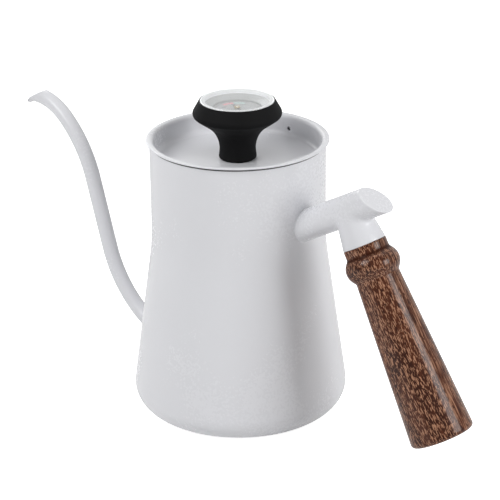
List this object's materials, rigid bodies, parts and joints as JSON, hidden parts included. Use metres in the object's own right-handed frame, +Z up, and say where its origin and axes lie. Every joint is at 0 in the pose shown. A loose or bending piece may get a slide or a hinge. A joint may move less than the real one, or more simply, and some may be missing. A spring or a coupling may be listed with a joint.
{
  "type": "gooseneck kettle",
  "caption": "Gooseneck drip kettle: flared white body, slim bent-tube spout, dished lift-off lid with a dial-thermometer knob, and a slanted turned-wood side grip.",
  "frame": {"origin": "middle of the flat underside that the kettle stands on", "axes": "+Z up along the body's axis, +X towards the grip, -X towards the spout"},
  "size_m": [0.2719, 0.1009, 0.1506],
  "materials": {
    "white_coat": "satin powder coat",
    "bare_steel": "fine brushed",
    "brass_fitting": "turned",
    "lacquered_wood": "glossy lacquer over dark flecked wood",
    "black_rubber": "matte moulded",
    "seal_rubber": "smooth silicone",
    "clear_lens": "clear, polished",
    "dial_print": "printed dial",
    "pointer_paint": "satin"
  },
  "bodies": {
    "kettle": {"body_shell": "white_coat", "base_plate": "bare_steel", "spout_tube": "white_coat", "handle_post": "white_coat", "post_end_plate": "white_coat", "grip_ferrule": "white_coat", "ferrule_disc": "bare_steel", "grip_stud": "bare_steel", "grip_insert": "brass_fitting", "wood_grip": "lacquered_wood"},
    "lid": {"lid_pan": "white_coat", "knob_grip": "black_rubber", "knob_seal": "seal_rubber", "lock_nut": "bare_steel", "neck_bush": "bare_steel", "thermometer_case": "bare_steel", "dial_plate": "dial_print", "dial_bezel": "dial_print", "lens_gasket": "seal_rubber", "lens": "clear_lens", "stem_tube": "bare_steel", "stem_tip": "bare_steel", "spindle_guide": "brass_fitting", "bimetal_coil": "bare_steel"},
    "pointer": {"spindle": "bare_steel", "pointer_hub": "brass_fitting", "pointer": "pointer_paint"}
  },
  "joints": [
    {"name": "lid_lift", "type": "slide", "parent": "kettle", "child": "lid", "axis": [0, 0, 1], "range_m": [0, 0.102]},
    {"name": "pointer_turn", "type": "hinge", "parent": "lid", "child": "pointer", "pos_m": [0, 0, 0.1457], "axis": [0, 0, -1], "range_deg": [-45, 225]}
  ]
}
